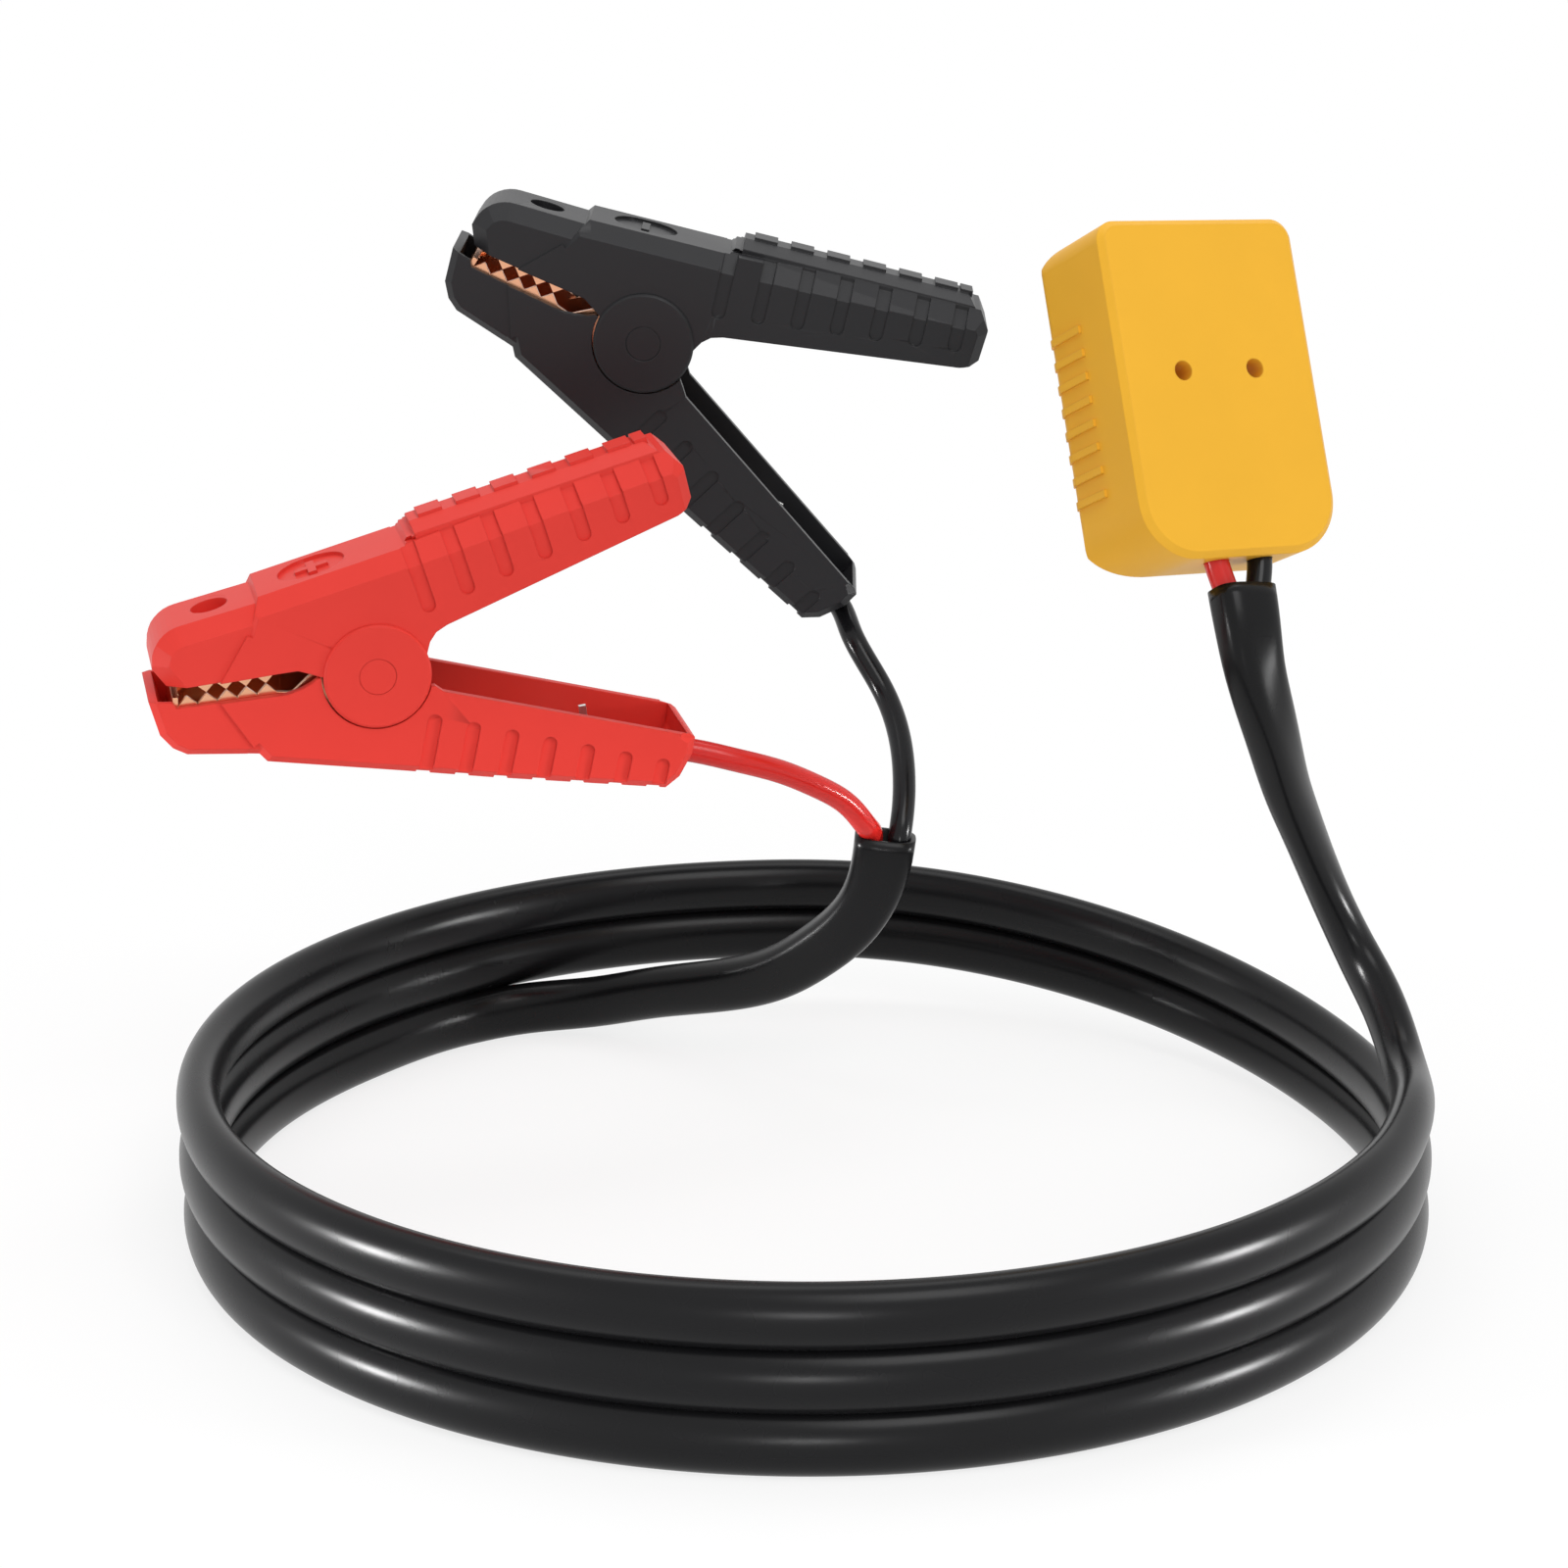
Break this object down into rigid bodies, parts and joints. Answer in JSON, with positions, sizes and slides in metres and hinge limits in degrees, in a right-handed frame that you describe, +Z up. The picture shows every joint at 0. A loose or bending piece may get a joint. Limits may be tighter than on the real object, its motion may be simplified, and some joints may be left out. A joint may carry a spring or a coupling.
{
  "type": "clamp lead set with battery adaptor pod",
  "caption": "Coiled oval twin lead with a slide-on battery adaptor pod at one end and a red and a black insulated battery clamp at the other.",
  "frame": {"origin": "on the floor at the middle of the coil", "axes": "+Z up from the floor, +X the coil's right as seen from the front, +Y away from the viewer"},
  "size_m": [0.3315, 0.321, 0.2512],
  "materials": {
    "pod_yellow": "moulded, satin",
    "dock_black": "moulded, satin",
    "contact_brass": "stamped, bright",
    "sheath_black": "smooth, satin",
    "wire_red": "smooth PVC",
    "wire_black": "smooth PVC",
    "jaw_copper": "copper-plated sheet",
    "ferrule_tin": "tinned",
    "spring_steel": "drawn wire",
    "rivet_steel": "plated",
    "clamp_red": "moulded, semi-gloss",
    "clamp_black": "moulded, semi-gloss"
  },
  "bodies": {
    "lead_and_lower_arms": {"red_lower_cover": "clamp_red", "red_lower_jaw": "jaw_copper", "red_pivot_pin": "clamp_red", "red_torsion_spring": "spring_steel", "red_lower_rivet": "rivet_steel", "red_crimp_ferrule": "ferrule_tin", "red_clamp_wire": "wire_red", "black_lower_cover": "clamp_black", "black_lower_jaw": "jaw_copper", "black_pivot_pin": "clamp_black", "black_torsion_spring": "spring_steel", "black_lower_rivet": "rivet_steel", "black_crimp_ferrule": "ferrule_tin", "black_clamp_wire": "wire_black", "pod_shell": "pod_yellow", "dock_plate": "dock_black", "terminal_block": "dock_black", "positive_blade": "contact_brass", "negative_blade": "contact_brass", "dock_screws": "rivet_steel", "red_pod_wire": "wire_red", "black_pod_wire": "wire_black", "pod_lead": "sheath_black", "lead_coil": "sheath_black", "clamp_lead": "sheath_black"},
    "red_upper_arm": {"red_upper_cover": "clamp_red", "red_upper_jaw": "jaw_copper", "red_upper_rivet": "rivet_steel", "red_pivot_cap_front": "clamp_red", "red_pivot_cap_back": "clamp_red"},
    "black_upper_arm": {"black_upper_cover": "clamp_black", "black_upper_jaw": "jaw_copper", "black_upper_rivet": "rivet_steel", "black_pivot_cap_front": "clamp_black", "black_pivot_cap_back": "clamp_black"}
  },
  "joints": [
    {"name": "red_clamp_pivot", "type": "hinge", "parent": "lead_and_lower_arms", "child": "red_upper_arm", "pos_m": [-0.1119, 0.0231, 0.1398], "axis": [-0.2395, 0.9677, 0.0785], "range_deg": [0, 32], "stiffness_Nm_per_rad": 4, "springref_deg": -28.65, "deforming": ["red_torsion_spring"]},
    {"name": "black_clamp_pivot", "type": "hinge", "parent": "lead_and_lower_arms", "child": "black_upper_arm", "pos_m": [-0.0436, 0.1124, 0.2114], "axis": [0.0139, 0.9964, 0.0837], "range_deg": [0, 32], "stiffness_Nm_per_rad": 4, "springref_deg": -28.65, "deforming": ["black_torsion_spring"]}
  ]
}
